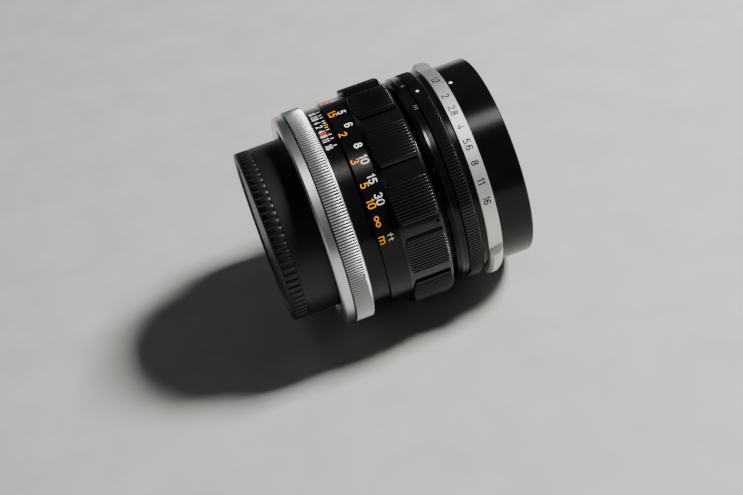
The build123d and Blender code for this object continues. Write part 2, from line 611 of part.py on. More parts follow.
def iris_blade(index):
    """One blade in its own layer, with a pivot pin behind it and a tail pin in front."""
    x0 = BLADE_FIRST + index * BLADE_PITCH
    x1 = x0 + BLADE_THICK
    pivot_angle = -90.0
    plate = block(-92.0, BLADE_ARC, x0, x1, BLADE_OUTER_R, STOP_OPEN_R)
    plate += axial_rod(pivot_angle, PIVOT_R, 1.1, x0, x1)
    tail_y, tail_z = tail_pin(0.0)
    tail = Cylinder(0.6, BLADE_THICK, align=(Align.CENTER, Align.CENTER, Align.MIN))
    plate += Pos(x0, tail_y, tail_z) * Rot(Y=90) * tail
    arm = Polyline(
        (x0, PIVOT_R - 0.6, 0), (x0, PIVOT_R + 0.6, 0), (x0, tail_y + 0.6, tail_z),
        (x0, tail_y - 0.6, tail_z), close=True,
    )
    plate += extrude(make_face(arm), amount=BLADE_THICK, dir=(1, 0, 0))
    plate += axial_rod(pivot_angle, PIVOT_R, PIVOT_PIN_R, SEAT_REAR + 0.1, x1)
    pin = Cylinder(TAIL_PIN_R, CAM_FRONT - 0.1 - x0, align=(Align.CENTER, Align.CENTER, Align.MIN))
    plate += Pos(x0, tail_y, tail_z) * Rot(Y=90) * pin
    swung = Pos(Y=PIVOT_R) * Rot(X=BLADE_RATIO * RING_HIGH) * Pos(Y=-PIVOT_R) * plate
    return Rot(X=360.0 * index / BLADE_COUNT) * swung


# ---------------------------------------------------------------- write every piece
PIECES = {
    "mount_plate": mount_plate,
    "mount_pin": mount_pin,
    "mount_screws": mount_screws,
    "rear_body": rear_body,
    "rear_baffle": rear_baffle,
    "lever_keeper": lever_keeper,
    "scale_barrel": scale_barrel,
    "focus_stop_screw": focus_stop_screw,
    "guide_keys": guide_keys,
    "guide_key_screws": guide_key_screws,
    "breech_ring": breech_ring,
    "rear_cap": rear_cap,
    "stop_lever": stop_lever,
    "focus_scale_ring": focus_scale_ring,
    "focus_grip": focus_grip,
    "focus_grip_screws": focus_grip_screws,
    "focus_sleeve": focus_sleeve,
    "unit_barrel": unit_barrel,
    "index_ring": index_ring,
    "spacer_ring": spacer_ring,
    "front_barrel": front_barrel,
    "trim_ring": trim_ring,
    "front_cell": front_cell,
    "front_retainer": front_retainer,
    "rear_cell": rear_cell,
    "rear_spacers": rear_spacers,
    "rear_retainer": rear_retainer,
    "blade_seat": blade_seat,
    "switch_ring": switch_ring,
    "switch_ring_screws": switch_ring_screws,
    "aperture_ring": aperture_ring,
    "aperture_link": aperture_link,
    "aperture_link_screws": aperture_link_screws,
    "iris_cam_ring": iris_cam_ring,
}


def write(node, shape):
    """Write one node; several identical pieces become separate solids of one file."""
    if isinstance(shape, list):
        shape = Compound(children=shape)
    export_step(shape, f"parts/{node}.step")


def main():
    os.makedirs("parts", exist_ok=True)
    for node, make in PIECES.items():
        write(node, make())
    for node, shape in ELEMENTS.items():
        write(node, element(**shape))
    for index in range(BLADE_COUNT):
        write(f"iris_blade_{index + 1}", iris_blade(index))
    print(f"blade ratio {-BLADE_RATIO:.6f}, closing angle {CLOSING_ANGLE:.3f}")
    print(f"focus ratio {LEAD_PER_DEGREE * 180 / pi / 1000:.8f} m/rad")


main()
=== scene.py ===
"""Visual model of a fast prime lens with its rear cap on.

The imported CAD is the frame: +X is the optical axis towards the front, +Z points up through the index
marks. This script adds the knurls, ribs, thread, scales, index dots and smooth glass, paints every
piece, and sets the floor, the lights and the camera. Sizes are in millimetres until they become mesh
coordinates, and angles about the axis are degrees from +Z, right-handed about +X.
"""

import json
from math import cos, degrees, pi, radians, sin, sqrt

import bmesh
import bpy
from mathutils import Matrix, Vector


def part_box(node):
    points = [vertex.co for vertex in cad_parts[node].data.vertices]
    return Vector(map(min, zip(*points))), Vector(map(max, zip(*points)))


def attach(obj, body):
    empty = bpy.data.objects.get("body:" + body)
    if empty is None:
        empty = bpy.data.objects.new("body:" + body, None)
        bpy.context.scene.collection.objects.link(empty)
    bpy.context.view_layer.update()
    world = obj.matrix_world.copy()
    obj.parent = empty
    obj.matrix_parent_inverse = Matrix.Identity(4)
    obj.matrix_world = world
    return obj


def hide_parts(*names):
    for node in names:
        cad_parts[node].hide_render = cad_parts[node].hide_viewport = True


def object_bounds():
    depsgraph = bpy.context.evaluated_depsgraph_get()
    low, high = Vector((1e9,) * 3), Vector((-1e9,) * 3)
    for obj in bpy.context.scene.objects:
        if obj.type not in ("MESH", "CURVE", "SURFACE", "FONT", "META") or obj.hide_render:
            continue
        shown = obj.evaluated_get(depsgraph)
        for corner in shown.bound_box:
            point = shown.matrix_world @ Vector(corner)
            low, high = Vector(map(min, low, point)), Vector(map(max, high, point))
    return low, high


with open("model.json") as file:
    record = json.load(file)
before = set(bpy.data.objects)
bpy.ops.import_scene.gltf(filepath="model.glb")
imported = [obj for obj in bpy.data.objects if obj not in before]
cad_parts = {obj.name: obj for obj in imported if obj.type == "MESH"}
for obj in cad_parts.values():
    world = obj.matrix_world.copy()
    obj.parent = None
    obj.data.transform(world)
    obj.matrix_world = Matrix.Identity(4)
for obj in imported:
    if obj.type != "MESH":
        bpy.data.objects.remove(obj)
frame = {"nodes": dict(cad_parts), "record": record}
rest_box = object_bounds()
MM = 0.001


# ---------------------------------------------------------------- places read from the frame
def station(node, side):
    """Where a node starts (0) or ends (1) along the axis, in millimetres."""
    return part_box(node)[side].x / MM


def outer_radius(node):
    """A turned node's largest radius in millimetres."""
    return max((v.co.yz.length for v in frame["nodes"][node].data.vertices)) / MM


def on_lens(angle, radius, x):
    """A point in metres from its angle, radius and station."""
    a = radians(angle)
    return Vector((x, -radius * sin(a), radius * cos(a))) * MM


CAP_RIB_FLOOR_R, CAP_RIB_REAR, CAP_RIB_FRONT = 25.5, -13.3, -9.2
BREECH_FLOOR_R, BREECH_GRIP_REAR, BREECH_GRIP_FRONT = 32.15, 3.2, 8.3
BREECH_BAND_R, BREECH_GROOVE_R = 31.9, 31.2
SCALE_R = outer_radius("scale_barrel")
SKIRT_R = outer_radius("focus_scale_ring")
LAND_FLOOR_R = outer_radius("focus_grip")
INDEX_BAND_R = 31.35
SWITCH_FLOOR_R, SWITCH_GRIP_REAR, SWITCH_GRIP_FRONT = 31.3, 38.75, 42.2
APERTURE_R = 31.0
FRONT_R = outer_radius("front_barrel")
THREAD_R, THREAD_REAR, LENS_FRONT = 28.8, 53.8, station("front_barrel", 1)

# How far paint stands above its ring, and how far a rib's foot is sunk into it
PAINT, FOOT_DEPTH = 0.02, 0.05

# Focus marks: the unit's extension per degree of the ring, and where infinity stands at rest
FOCAL_LENGTH, LEAD, INFINITY_ANGLE = 57.3, 0.035, 62.3
FOOT = 304.8


# ---------------------------------------------------------------- node materials
def shader(name):
    """A new material, its node tree and its shader node."""
    material = bpy.data.materials.new(name)
    material.use_nodes = True
    tree = material.node_tree
    principled = tree.nodes["Principled BSDF"]
    return material, tree, principled


def noise_value(tree, scale, detail):
    """Noise over the object's own coordinates, in metres."""
    place = tree.nodes.new("ShaderNodeTexCoord")
    noise = tree.nodes.new("ShaderNodeTexNoise")
    noise.inputs["Scale"].default_value = scale
    noise.inputs["Detail"].default_value = detail
    tree.links.new(place.outputs["Object"], noise.inputs["Vector"])
    return noise.outputs["Fac"]


def mapped(tree, value, low, high):
    """A noise value, which mostly lies from 0.3 to 0.7, stretched to the range from low to high."""
    remap = tree.nodes.new("ShaderNodeMapRange")
    remap.inputs["From Min"].default_value = 0.3
    remap.inputs["From Max"].default_value = 0.7
    remap.inputs["To Min"].default_value = low
    remap.inputs["To Max"].default_value = high
    tree.links.new(value, remap.inputs["Value"])
    return remap.outputs["Result"]


def mixed(tree, value, first, second):
    """A colour between two, by a value from 0 to 1."""
    mix = tree.nodes.new("ShaderNodeMix")
    mix.data_type = "RGBA"
    mix.inputs["A"].default_value = (*first, 1.0)
    mix.inputs["B"].default_value = (*second, 1.0)
    tree.links.new(value, mix.inputs["Factor"])
    return mix.outputs["Result"]


def surface(name, colours, metallic, rough, grain=3000.0, relief=0.01, specular=0.5, lathe=0.0):
    """An opaque finish: two close colours, a roughness range and a fine grain. `lathe` is how much
    the surface is turned around the axis, and `relief` the height of the grain in millimetres."""
    material, tree, principled = shader(name)
    slow = mapped(tree, noise_value(tree, 60.0, 3.0), 0.0, 1.0)
    fine = noise_value(tree, grain, 2.0)
    tree.links.new(mixed(tree, slow, *colours), principled.inputs["Base Color"])
    tree.links.new(mapped(tree, fine, *rough), principled.inputs["Roughness"])
    principled.inputs["Metallic"].default_value = metallic
    principled.inputs["Specular IOR Level"].default_value = specular
    if relief:
        bump = tree.nodes.new("ShaderNodeBump")
        bump.inputs["Strength"].default_value = 1.0
        bump.inputs["Distance"].default_value = relief * MM
        tree.links.new(fine, bump.inputs["Height"])
        tree.links.new(bump.outputs["Normal"], principled.inputs["Normal"])
    if lathe:
        tangent = tree.nodes.new("ShaderNodeTangent")
        tangent.direction_type = "RADIAL"
        tangent.axis = "X"
        principled.inputs["Anisotropic"].default_value = lathe
        principled.inputs["Anisotropic Rotation"].default_value = 0.25
        tree.links.new(tangent.outputs["Tangent"], principled.inputs["Tangent"])
    return material


def coated_glass(name, tint, film):
    """Clear glass with an antireflection film of a given thickness in nanometres."""
    material, tree, principled = shader(name)
    haze = noise_value(tree, 140.0, 5.0)
    colour = mixed(tree, mapped(tree, haze, 0.0, 1.0), tint, (1.0, 1.0, 1.0))
    tree.links.new(colour, principled.inputs["Base Color"])
    principled.inputs["Roughness"].default_value = 0.0
    principled.inputs["Transmission Weight"].default_value = 1.0
    principled.inputs["IOR"].default_value = 1.62
    principled.inputs["Thin Film Thickness"].default_value = film
    principled.inputs["Thin Film IOR"].default_value = 1.38
    return material


MATERIALS = {
    "black_enamel": surface(
        "black_enamel", ((0.002, 0.002, 0.0025), (0.004, 0.004, 0.005)), 0.0, (0.22, 0.28),
        relief=0.0, specular=0.22, lathe=0.95,
    ),
    "black_grip": surface(
        "black_grip", ((0.002, 0.002, 0.0025), (0.005, 0.005, 0.006)), 0.0, (0.12, 0.20),
        relief=0.0, specular=0.50,
    ),
    "satin_silver": surface(
        "satin_silver", ((0.68, 0.68, 0.67), (0.76, 0.76, 0.75)), 1.0, (0.44, 0.54),
        grain=6000.0, relief=0.002,
    ),
    "polished_mount": surface(
        "polished_mount", ((0.66, 0.66, 0.64), (0.76, 0.76, 0.73)), 1.0, (0.14, 0.24),
        relief=0.0, lathe=0.5,
    ),
    "bare_aluminium": surface(
        "bare_aluminium", ((0.50, 0.50, 0.48), (0.60, 0.60, 0.58)), 1.0, (0.28, 0.42),
        relief=0.0, lathe=0.6,
    ),
    "blackened_metal": surface(
        "blackened_metal", ((0.006, 0.006, 0.006), (0.014, 0.014, 0.015)), 0.0, (0.42, 0.60),
        relief=0.001,
    ),
    "helicoid_brass": surface(
        "helicoid_brass", ((0.62, 0.42, 0.16), (0.74, 0.54, 0.24)), 1.0, (0.22, 0.36),
        relief=0.0, lathe=0.6,
    ),
    "steel": surface(
        "steel", ((0.42, 0.42, 0.42), (0.56, 0.56, 0.55)), 1.0, (0.22, 0.34), relief=0.001,
    ),
    "blade_steel": surface(
        "blade_steel", ((0.030, 0.031, 0.035), (0.055, 0.056, 0.062)), 0.8, (0.28, 0.42), relief=0.0,
    ),
    "cap_plastic": surface(
        "cap_plastic", ((0.003, 0.003, 0.003), (0.006, 0.006, 0.006)), 0.0, (0.38, 0.48),
        relief=0.001, specular=0.40,
    ),
}
TURNED_SILVER = surface(
    "turned_silver", ((0.66, 0.67, 0.67), (0.76, 0.76, 0.76)), 1.0, (0.30, 0.42),
    grain=5000.0, relief=0.002, lathe=0.6,
)
GLASS = {
    "lens_1": coated_glass("glass_front", (0.985, 0.96, 0.93), 135.0),
    "lens_2": coated_glass("glass_second", (0.97, 0.97, 1.0), 105.0),
    "lens_7": coated_glass("glass_rear", (0.985, 0.965, 0.94), 128.0),
}
INNER_GLASS = coated_glass("glass_inner", (0.98, 0.98, 0.98), 115.0)
WHITE_PAINT = surface("white_paint", ((0.80, 0.80, 0.76), (0.92, 0.92, 0.88)), 0.0, (0.40, 0.60))
ORANGE_PAINT = surface("orange_paint", ((0.92, 0.28, 0.002), (1.00, 0.36, 0.008)), 0.0, (0.40, 0.60))
RED_PAINT = surface("red_paint", ((0.62, 0.02, 0.015), (0.78, 0.05, 0.03)), 0.0, (0.35, 0.55))
IVORY_PAINT = surface("ivory_paint", ((0.86, 0.76, 0.56), (0.94, 0.86, 0.70)), 0.0, (0.35, 0.55))
# Painted shade: a dark colour laid in the roots of the breech knurl and its groove, where shade falls
PAINTED_ROOT_SHADE = surface("painted_root_shade", ((0.02, 0.02, 0.02), (0.04, 0.04, 0.04)), 0.4, (0.40, 0.55))
GREY_PAINT = surface("grey_paint", ((0.10, 0.10, 0.10), (0.18, 0.18, 0.17)), 0.0, (0.40, 0.60))
BLACK_FILL = surface(
    "black_fill", ((0.004, 0.004, 0.004), (0.010, 0.010, 0.010)), 0.0, (0.5, 0.7), specular=0.05,
)


def paint(thing, material):
    """Give every face of a mesh one material."""
    thing.data.materials.clear()
    thing.data.materials.append(material)


def paint_frame():
    """Each CAD node gets the finish of its record slot. Glass gets its coatings, and the breech ring
    shows its turning."""
    for entry in frame["record"]["subparts"]:
        node = entry["node"]
        finish = MATERIALS.get(entry["material_slot"]) or GLASS.get(node, INNER_GLASS)
        paint(frame["nodes"][node], finish)
    paint(frame["nodes"]["breech_ring"], TURNED_SILVER)


# ---------------------------------------------------------------- meshes
def piece(name, vertices, faces, body, material, smooth=()):
    """A closed mesh in the lens's frame that rides on a body. `smooth` holds its smooth faces."""
    mesh = bpy.data.meshes.new(name)
    mesh.from_pydata(vertices, [], faces)
    shell = bmesh.new()
    shell.from_mesh(mesh)
    bmesh.ops.recalc_face_normals(shell, faces=shell.faces)
    shell.to_mesh(mesh)
    shell.free()
    for polygon in mesh.polygons:
        polygon.use_smooth = polygon.index in smooth
    thing = bpy.data.objects.new(name, mesh)
    bpy.context.scene.collection.objects.link(thing)
    paint(thing, material)
    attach(thing, body)
    return thing


# A rib's cross-section as (side, rise), in fractions of half its width and of its height
ROUND_TOP = [
    (-1.0, 0.0), (-0.75, 0.65), (-0.35, 0.95), (0.0, 1.0), (0.35, 0.95), (0.75, 0.65), (1.0, 0.0),
]


def rib(angle, width, stations, floor, height):
    """Corners of one rib along the axis. `stations` lists (x, rise fraction, drop of the floor)."""
    half = degrees(width / 2 / floor)
    vertices = []
    for x, share, drop in stations:
        base = floor - drop
        vertices.append(on_lens(angle - half, base - FOOT_DEPTH, x))
        for side, rise in ROUND_TOP:
            vertices.append(on_lens(angle + half * side, base + height * rise * share, x))
        vertices.append(on_lens(angle + half, base - FOOT_DEPTH, x))
    return vertices


def ribs(name, angles, width, stations, floor, height, body, material):
    """Many ribs in one mesh, each of them closed, with smooth-shaded crests."""
    ring = len(ROUND_TOP) + 2
    vertices = []
    faces = []
    smooth = set()
    for angle in angles:
        first = len(vertices)
        vertices += rib(angle, width, stations, floor, height)
        for s in range(len(stations) - 1):
            near = first + s * ring
            far = near + ring
            for i in range(ring):
                j = (i + 1) % ring
                if 0 < i < ring - 2:
                    smooth.add(len(faces))
                faces.append((near + i, near + j, far + j, far + i))
        faces.append(tuple(range(first + ring - 1, first - 1, -1)))
        last = first + (len(stations) - 1) * ring
        faces.append(tuple(range(last, last + ring)))
    return piece(name, vertices, faces, body, material, smooth)


def turned(name, profile, count, body, material):
    """A full turning from (x, radius) corners, closed by joining the last corner to the first."""
    vertices = [on_lens(360.0 * k / count, r, x) for k in range(count) for x, r in profile]
    size = len(profile)
    faces = []
    for k in range(count):
        near = k * size
        far = (k + 1) % count * size
        for i in range(size):
            j = (i + 1) % size
            faces.append((near + i, near + j, far + j, far + i))
    return piece(name, vertices, faces, body, material)


# ---------------------------------------------------------------- glass
def poles(node):
    """Where a lens element's rear and front faces cross the axis."""
    stations = [v.co.x / MM for v in frame["nodes"][node].data.vertices if v.co.yz.length < 0.001 * MM]
    return min(stations), max(stations)


def polished(vertex, curve, clear, steps=16):
    """(x, radius) points of a refracting surface, from beside the axis to its clear radius. A positive
    radius of curvature bulges towards the front."""
    side = 1 if curve > 0 else -1
    heights = [clear * (i + 1) / steps for i in range(steps)]
    return [(vertex - side * (abs(curve) - sqrt(curve ** 2 - h ** 2)), h) for h in heights]


def glass_profile(front, rear):
    """(x, radius) points of a lens element or a cemented pair, from beside the front pole round the
    rim to beside the rear pole, and how many of them are on each polished face."""
    face = polished(poles(front[0])[1], *front[1:])
    back = polished(poles(rear[0])[0], *rear[1:])[::-1]
    edge, rear_edge = outer_radius(front[0]), outer_radius(rear[0])
    rim = [(face[-1][0], edge)]
    if rear_edge != edge:
        seam = station(front[0], 0)
        rim += [(seam, edge), (seam, rear_edge)]
    rim.append((back[0][0], rear_edge))
    return face + [p for p in rim if p not in (face[-1], back[0])] + back, len(face)


def glass(name, front, rear, material, count=128):
    """A lens element or a cemented pair with smooth faces, standing for its CAD nodes. Each end is its
    node, its signed radius of curvature and its clear radius."""
    profile, polished_points = glass_profile(front, rear)
    rings = len(profile)
    vertices = [on_lens(360.0 * k / count, r, x) for x, r in profile for k in range(count)]
    vertices += [on_lens(0.0, 0.0, poles(front[0])[1]), on_lens(0.0, 0.0, poles(rear[0])[0])]
    front_pole, rear_pole = rings * count, rings * count + 1
    faces = []
    smooth = set()
    for k in range(count):
        j = (k + 1) % count
        last = (rings - 1) * count
        smooth |= {len(faces), len(faces) + 1}
        faces += [(front_pole, k, j), (rear_pole, last + j, last + k)]
        for i in range(rings - 1):
            if i < polished_points - 1 or i >= rings - polished_points:
                smooth.add(len(faces))
            near = i * count
            far = near + count
            faces.append((near + k, far + k, far + j, near + j))
    thing = piece(name, vertices, faces, "optical_unit", material, smooth)
    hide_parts(*sorted({front[0], rear[0]}))


def glasses():
    glass("glass_1", ("lens_1", 50.0, 24.6), ("lens_1", 150.0, 24.6), GLASS["lens_1"])
    glass("glass_2_3", ("lens_2", 38.0, 21.0), ("lens_3", 26.0, 17.2), GLASS["lens_2"])
    glass("glass_4_5", ("lens_4", -26.0, 16.0), ("lens_5", -34.0, 17.0), INNER_GLASS)
    glass("glass_6", ("lens_6", 120.0, 17.0), ("lens_6", -60.0, 17.0), INNER_GLASS)
    glass("glass_7", ("lens_7", 90.0, 16.5), ("lens_7", -150.0, 16.5), GLASS["lens_7"])


# ---------------------------------------------------------------- knurls and ribs
def evenly(count, low=0.0, high=360.0, gap=None):
    """Equally spaced angles, without those inside a gap (low, high)."""
    angles = [low + (high - low) * (i + 0.5) / count for i in range(count)]
    if gap is None:
        return angles
    return [a for a in angles if not gap[0] < (a + 180.0) % 360.0 - 180.0 < gap[1]]


def breech_knurl():
    """Ribs around the breech ring, over a ring of painted shade that runs into the groove behind them."""
    count, width, height = 237, 0.47, 0.27
    rear, front = BREECH_GRIP_REAR, BREECH_GRIP_FRONT
    stations = [(rear, 0.0, 0.0), (rear + 0.2, 1.0, 0.0), (front + 0.1, 1.0, 0.0), (front + 0.3, 0.0, 0.1)]
    ribs("breech_knurl", evenly(count), width, stations, BREECH_FLOOR_R, height, "breech",
         TURNED_SILVER)
    # A dark ring of painted shade under the teeth and down into the groove behind them
    groove, sunk = rear - 0.38, BREECH_GROOVE_R - 0.1
    root = [
        (groove, sunk), (groove, BREECH_GROOVE_R + PAINT), (rear, BREECH_GROOVE_R + PAINT),
        (rear, BREECH_FLOOR_R + PAINT), (front, BREECH_FLOOR_R + PAINT), (front, sunk),
    ]
    turned("breech_knurl_painted_shade", root, 240, "breech", PAINTED_ROOT_SHADE)


LAND_COUNT, LAND_PHASE, LAND_SPAN, LAND_RIBS = 12, -2.7, 19.7, 12
LAND_REAR, LAND_FRONT, LAND_END_SAG = 20.6, 33.05, 0.8
LAND_HEEL, LAND_SHOULDER = 21.3, 32.1
HEEL_SLOPE, SHOULDER_SLOPE = 0.78, 0.55


def land_drop(x):
    """How far the chamfers have brought a land's floor down."""
    return HEEL_SLOPE * max(0.0, LAND_HEEL - x) + SHOULDER_SLOPE * max(0.0, x - LAND_SHOULDER)


def focus_ribs():
    """Ribs along each land. They end on a curve, further out in the middle of the land."""
    width, height, bevel = 0.56, 0.26, 0.2
    for i, offset in enumerate(evenly(LAND_RIBS, -LAND_SPAN / 2, LAND_SPAN / 2)):
        short = LAND_END_SAG * (2 * offset / LAND_SPAN) ** 2
        rear, front = LAND_REAR + short, LAND_FRONT - short
        heel, shoulder = max(LAND_HEEL, rear + 0.25), min(LAND_SHOULDER, front - 0.25)
        places = [(rear, 0.0), (rear + bevel, 1.0), (heel, 1.0)]
        places += [(shoulder, 1.0), (front - bevel, 1.0), (front, 0.0)]
        stations = [(x, share, land_drop(x)) for x, share in places]
        angles = [LAND_PHASE + 360.0 * land / LAND_COUNT + offset for land in range(LAND_COUNT)]
        ribs(f"focus_ribs_{i + 1}", angles, width, stations, LAND_FLOOR_R, height, "focus",
             MATERIALS["black_grip"])


def switch_knurl():
    """Ribs around the automatic / manual ring, without those under its dot."""
    count, width, height, dot_gap = 207, 0.52, 0.24, (-5.9, 6.9)
    rear, front = SWITCH_GRIP_REAR, SWITCH_GRIP_FRONT
    stations = [(rear, 0.6, 0.0), (rear + 0.2, 1.0, 0.0), (front, 1.0, 0.0), (front + 0.2, 0.6, 0.0)]
    ribs("switch_knurl", evenly(count, gap=dot_gap), width, stations, SWITCH_FLOOR_R, height,
         "auto_manual", MATERIALS["black_grip"])


def cap_ribs():
    """Moulded ribs whose front ends are rounded."""
    count, width, height, reach = 70, 1.9, 0.32, 1.1
    stations = [(CAP_RIB_REAR, 1.0, 0.0)]
    for turn in (90, 60, 40, 22, 8, 0):
        x = CAP_RIB_FRONT - reach * (1 - cos(radians(turn)))
        stations.append((x, 1.0, height * (1 - sin(radians(turn)))))
    ribs("cap_ribs", evenly(count), width, stations, CAP_RIB_FLOOR_R, height, "cap",
         MATERIALS["cap_plastic"])


def accessory_thread():
    """Fine grooves in the front bore: a sleeve whose inside is a row of crests."""
    pitch, sunk = 0.75, THREAD_R + 0.05
    root, crest = THREAD_R - 0.02, THREAD_R - 0.28
    profile = [(THREAD_REAR + 0.05, sunk)]
    x = THREAD_REAR + 0.2
    while x + pitch < LENS_FRONT - 0.5:
        profile += [(x, root), (x + 0.3 * pitch, crest), (x + 0.45 * pitch, crest)]
        x += pitch
    profile += [(x, root), (x + 0.1, sunk)]
    turned("accessory_thread", profile, 192, "optical_unit", MATERIALS["black_enamel"])


# ---------------------------------------------------------------- engraved figures
def arc(cx, cy, rx, ry, start, end, steps=9):
    """Points of an elliptical arc."""
    turns = [radians(start + (end - start) * i / steps) for i in range(steps + 1)]
    return [(cx + rx * cos(t), cy + ry * sin(t)) for t in turns]


def half_turned(strokes):
    """A full-width figure turned upside down."""
    return [[(1.0 - u, 2.0 - v) for u, v in stroke] for stroke in strokes]


def lying_eight(steps=32):
    """The infinity sign's single stroke."""
    turns = [2 * pi * i / steps for i in range(steps + 1)]
    return [
        (1.15 + 1.15 * cos(t) / (1 + sin(t) ** 2), 1.0 + 1.75 * sin(t) * cos(t) / (1 + sin(t) ** 2))
        for t in turns
    ]


SIX = [
    arc(0.5, 0.58, 0.5, 0.58, 0, 360, 16),
    [(0.0, 0.58), (0.0, 1.3)] + arc(0.5, 1.35, 0.5, 0.65, 180, 35),
]
# Each figure is drawn in a cell two units high: its width, then its strokes
FIGURES = {
    "0": (1.0, [arc(0.5, 1.4, 0.5, 0.6, 0, 180) + arc(0.5, 0.6, 0.5, 0.6, 180, 360) + [(1.0, 1.4)]]),
    "1": (0.5, [[(0.05, 1.62), (0.42, 2.0), (0.42, 0.0)]]),
    "2": (1.0, [arc(0.5, 1.48, 0.48, 0.52, 165, -38) + [(0.02, 0.0), (1.0, 0.0)]]),
    "3": (1.0, [arc(0.46, 1.5, 0.46, 0.5, 150, -80) + arc(0.48, 0.52, 0.52, 0.52, 80, -150)]),
    "4": (1.0, [[(0.72, 0.0), (0.72, 2.0), (0.0, 0.55), (1.0, 0.55)]]),
    "5": (1.0, [[(0.92, 2.0), (0.16, 2.0), (0.08, 1.1)] + arc(0.48, 0.62, 0.52, 0.62, 128, -145)]),
    "6": (1.0, SIX),
    "7": (1.0, [[(0.0, 2.0), (1.0, 2.0), (0.35, 0.0)]]),
    "8": (1.0, [arc(0.5, 1.52, 0.42, 0.48, 0, 360, 14), arc(0.5, 0.52, 0.5, 0.52, 0, 360, 16)]),
    "9": (1.0, half_turned(SIX)),
    ".": (0.15, [[(0.0, 0.0), (0.12, 0.0)]]),
    "R": (1.0, [[(0.0, 0.0), (0.0, 2.0)] + arc(0.5, 1.5, 0.46, 0.5, 90, -90) + [(0.0, 1.0)],
                [(0.45, 1.0), (1.0, 0.0)]]),
    "A": (1.2, [[(0.0, 0.0), (0.6, 2.0), (1.2, 0.0)], [(0.22, 0.7), (0.98, 0.7)]]),
    "M": (1.3, [[(0.0, 0.0), (0.0, 2.0), (0.65, 0.7), (1.3, 2.0), (1.3, 0.0)]]),
    "m": (1.7, [[(0.0, 0.0), (0.0, 1.3)], arc(0.42, 0.85, 0.42, 0.42, 180, 0) + [(0.84, 0.0)],
                arc(1.26, 0.85, 0.42, 0.42, 180, 0) + [(1.68, 0.0)]]),
    "f": (0.8, [arc(0.7, 1.6, 0.4, 0.4, 90, 180) + [(0.3, 0.0)], [(0.0, 1.25), (0.7, 1.25)]]),
    "t": (0.7, [[(0.3, 1.85), (0.3, 0.35)] + arc(0.62, 0.35, 0.32, 0.35, 180, 270),
                [(0.0, 1.25), (0.65, 1.25)]]),
    "inf": (2.3, [lying_eight()]),
}


def layout(symbols, width, height, gap):
    """Strokes of a word centred on its reading direction, in millimetres: (along, up) points."""
    strokes = []
    pen = 0.0
    for i, symbol in enumerate(symbols):
        cell, drawn = FIGURES[symbol]
        if i:
            pen += gap * (0.7 if "." in symbols[i - 1:i + 1] else 1.0)
        strokes += [[(pen + u * width, v * height / 2) for u, v in stroke] for stroke in drawn]
        pen += cell * width
    return [[(u - pen / 2, v) for u, v in stroke] for stroke in strokes]


def ribbon(points, thick, let_out=0.4):
    """Left and right edges of a painted line, with its ends let out by a part of its width."""
    line = [Vector(p) for p in points]
    line[0] += (line[0] - line[1]).normalized() * thick * let_out
    line[-1] += (line[-1] - line[-2]).normalized() * thick * let_out
    courses = [(after - before).normalized() for before, after in zip(line, line[1:])]
    edges = []
    for i, point in enumerate(line):
        arriving = courses[max(i - 1, 0)]
        leaving = courses[min(i, len(courses) - 1)]
        square = Vector((-arriving.y, arriving.x))
        side = square + Vector((-leaving.y, leaving.x))
        side = side.normalized() if side.length > 0.2 else square
        reach = thick / 2 / max(0.6, side.dot(square))
        edges.append((point + side * reach, point - side * reach))
    return edges


class Marks:
    """Painted figures and lines that share a body and a paint, gathered into one piece."""

    def __init__(self, name, body, material, radius):
        self.name, self.body, self.material, self.radius = name, body, material, radius
        self.vertices, self.faces = [], []

    def line(self, angle, x, points, thick):
        """A line on the barrel; points are (along, up) from the place given by angle and x."""
        first = len(self.vertices)
        for pair in ribbon(points, thick):
            for low in (True, False):
                for u, v in pair if low else reversed(pair):
                    radius = self.radius + (-PAINT if low else PAINT)
                    self.vertices.append(on_lens(angle + degrees(u / self.radius), radius, x + v))
        for s in range(len(points) - 1):
            near = first + 4 * s
            far = near + 4
            for i in range(4):
                j = (i + 1) % 4
                self.faces.append((near + i, near + j, far + j, far + i))
        self.faces.append((first + 3, first + 2, first + 1, first))
        last = len(self.vertices) - 4
        self.faces.append((last, last + 1, last + 2, last + 3))

    def word(self, angle, x, symbols, width, height, thick, gap=0.35):
        """Figures side by side, centred on the angle, with their feet at x."""
        for stroke in layout(symbols, width, height, gap):
            self.line(angle, x, stroke, thick)

    def finish(self):
        """Make the piece from what was gathered."""
        return piece(self.name, self.vertices, self.faces, self.body, self.material)


def depth_scale():
    """Depth-of-field figures and ticks on both sides of the orange index."""
    places = {"16": 16.2, "11": 11.3, "8": 8.2, "4": 4.15}
    unmarked = 2.0
    foot, low, high = 9.78, 12.1, 12.85
    width, height = 0.66, 1.8
    tick = [(0.0, 0.0), (0.0, high - low)]
    figures = Marks("depth_figures", "fixed_barrel", WHITE_PAINT, SCALE_R)
    for side in (-1, 1):
        for text, offset in places.items():
            figures.word(side * offset, foot, text, width, height, 0.22, gap=0.42)
            figures.line(side * offset, low, tick, 0.24)
        figures.line(side * unmarked, low, tick, 0.24)
    figures.word(0.0, foot, "2", width, height, 0.22)
    figures.finish()
    index = Marks("focus_index", "fixed_barrel", ORANGE_PAINT, SCALE_R)
    index.line(0.0, low, [(0.0, 0.0), (0.0, high + 0.25 - low)], 0.32)
    index.finish()
    infrared = Marks("infrared_mark", "fixed_barrel", RED_PAINT, SCALE_R)
    infrared.word(6.2, foot, "R", width, height, 0.26)
    infrared.line(7.0, low, [(0.0, 0.0), (0.0, 0.15)], 0.24)
    infrared.finish()


def mark_angle(distance):
    """Where a subject distance in millimetres is engraved. Over the focal length it is 2 + m + 1/m,
    m being the magnification."""
    sum_with_inverse = distance / FOCAL_LENGTH - 2.0
    magnification = (sum_with_inverse - sqrt(sum_with_inverse ** 2 - 4.0)) / 2.0
    return INFINITY_ANGLE - FOCAL_LENGTH * magnification / LEAD


